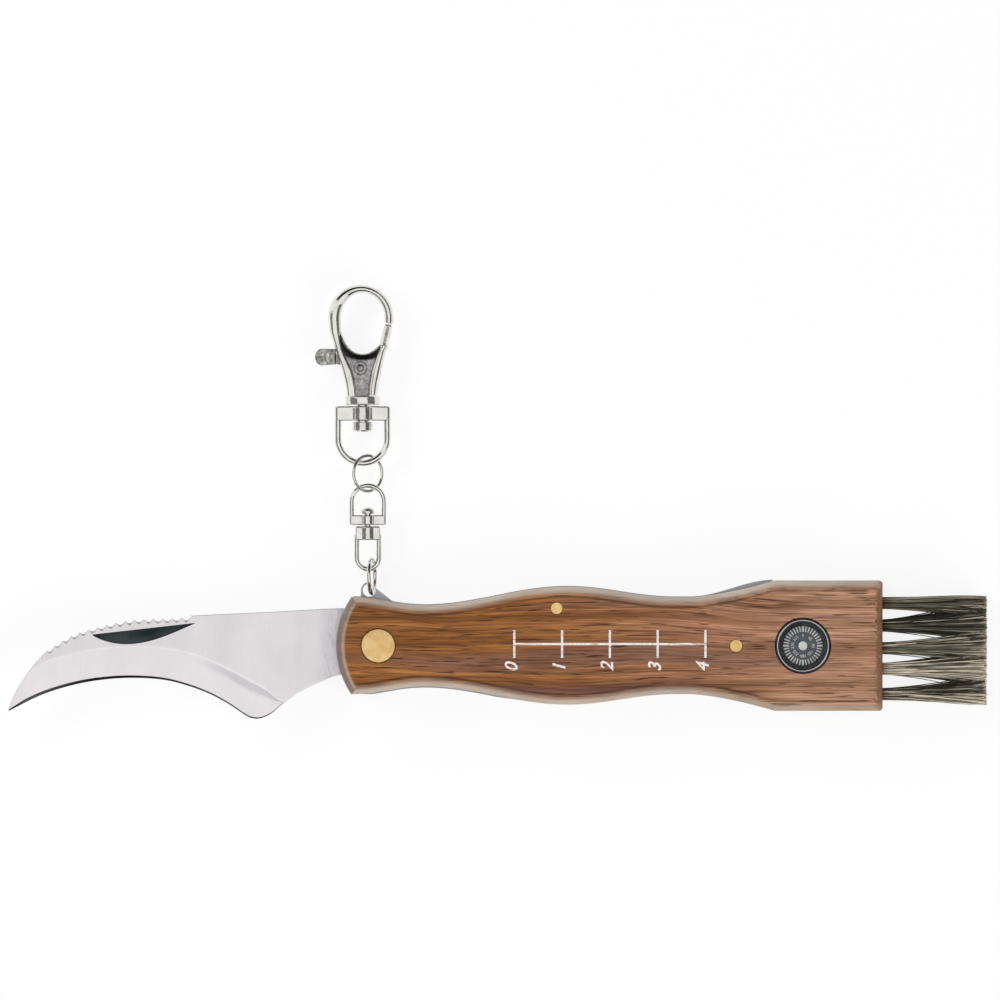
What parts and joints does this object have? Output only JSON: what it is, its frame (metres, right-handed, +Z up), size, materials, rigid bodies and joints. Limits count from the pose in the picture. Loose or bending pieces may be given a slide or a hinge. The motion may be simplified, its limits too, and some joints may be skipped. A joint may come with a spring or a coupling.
{
  "type": "mushroom knife",
  "caption": "Folding mushroom knife: hawkbill blade with serrated back, waisted wooden handle with compass, ruler and brush, and a swivel hook on a short chain.",
  "frame": {"origin": "blade pivot axis, in the flat rear face of the handle that the knife lies on", "axes": "+X along the handle to the brush, +Y across to the back spring and the chain, +Z up out of the front face"},
  "size_m": [0.205, 0.0909, 0.015],
  "materials": {
    "wood": "oiled reddish brown hardwood, satin, dark pores along the grain",
    "blade_steel": "satin stainless steel, fine grain across the blade",
    "liner_steel": "dull grey steel sheet",
    "brass": "polished brass, lightly scratched",
    "bristle": "natural bristle, dark at the root and pale at the tips",
    "black_plastic": "black moulded plastic",
    "dial_card": "near-black printed card with white marks",
    "clear_plastic": "clear domed plastic",
    "nickel": "bright nickel plate on cast and bent wire parts",
    "spring_steel": "drawn steel wire"
  },
  "bodies": {
    "handle": {"rear_scale": "wood", "front_scale": "wood", "end_block": "wood", "rear_liner": "liner_steel", "front_liner": "liner_steel", "back_spring": "liner_steel", "pivot_pin": "brass", "spring_pin": "brass", "rear_pin": "brass", "bristle_row_1": "bristle", "bristle_row_2": "bristle", "bristle_row_3": "bristle", "compass_cup": "black_plastic", "compass_lens": "clear_plastic", "compass_point": "spring_steel"},
    "blade": {"blade": "blade_steel"},
    "compass_dial": {"compass_dial": "dial_card"},
    "jump_ring": {"jump_ring": "nickel"},
    "lower_swivel": {"lower_swivel_loop": "nickel", "lower_swivel_pin": "nickel"},
    "small_shackle": {"small_shackle": "nickel"},
    "link_ring": {"link_ring": "nickel"},
    "large_shackle": {"large_shackle": "nickel"},
    "hook": {"hook_body": "nickel", "hook_post": "nickel", "trigger_rivet": "nickel", "trigger_spring": "spring_steel"},
    "trigger": {"trigger": "nickel"}
  },
  "joints": [
    {"name": "blade_hinge", "type": "hinge", "parent": "handle", "child": "blade", "pos_m": [0, 0, 0.0072], "axis": [0, 0, 1], "range_deg": [0, 164]},
    {"name": "dial_turn", "type": "hinge", "parent": "handle", "child": "compass_dial", "pos_m": [0.0889, 0, 0.0123], "axis": [0, 0, 1], "continuous": true},
    {"name": "jump_ring_swing", "type": "hinge", "parent": "handle", "child": "jump_ring", "pos_m": [-0.0019, 0.0116, 0.00365], "axis": [0, 0, 1], "range_deg": [-30, 30]},
    {"name": "lower_swivel_swing", "type": "hinge", "parent": "jump_ring", "child": "lower_swivel", "pos_m": [-0.0022, 0.01836, 0.00365], "axis": [0, 0, 1], "range_deg": [-25, 25]},
    {"name": "small_swivel_turn", "type": "hinge", "parent": "lower_swivel", "child": "small_shackle", "pos_m": [-0.0022, 0.02526, 0.00365], "axis": [0, 1, 0], "continuous": true},
    {"name": "link_ring_swing", "type": "hinge", "parent": "small_shackle", "child": "link_ring", "pos_m": [-0.0022, 0.03016, 0.00365], "axis": [0, 0, 1], "range_deg": [-25, 25]},
    {"name": "large_shackle_swing", "type": "hinge", "parent": "link_ring", "child": "large_shackle", "pos_m": [-0.0033, 0.04338, 0.00365], "axis": [0, 0, 1], "range_deg": [-25, 25]},
    {"name": "hook_swivel_turn", "type": "hinge", "parent": "large_shackle", "child": "hook", "pos_m": [-0.0033, 0.05233, 0.00365], "axis": [0, 1, 0], "continuous": true},
    {"name": "trigger_turn", "type": "hinge", "parent": "hook", "child": "trigger", "pos_m": [-0.00375, 0.05813, 0.00365], "axis": [0, 0, 1], "range_deg": [0, 26], "stiffness_Nm_per_rad": 0.02, "springref_deg": -20.05}
  ]
}
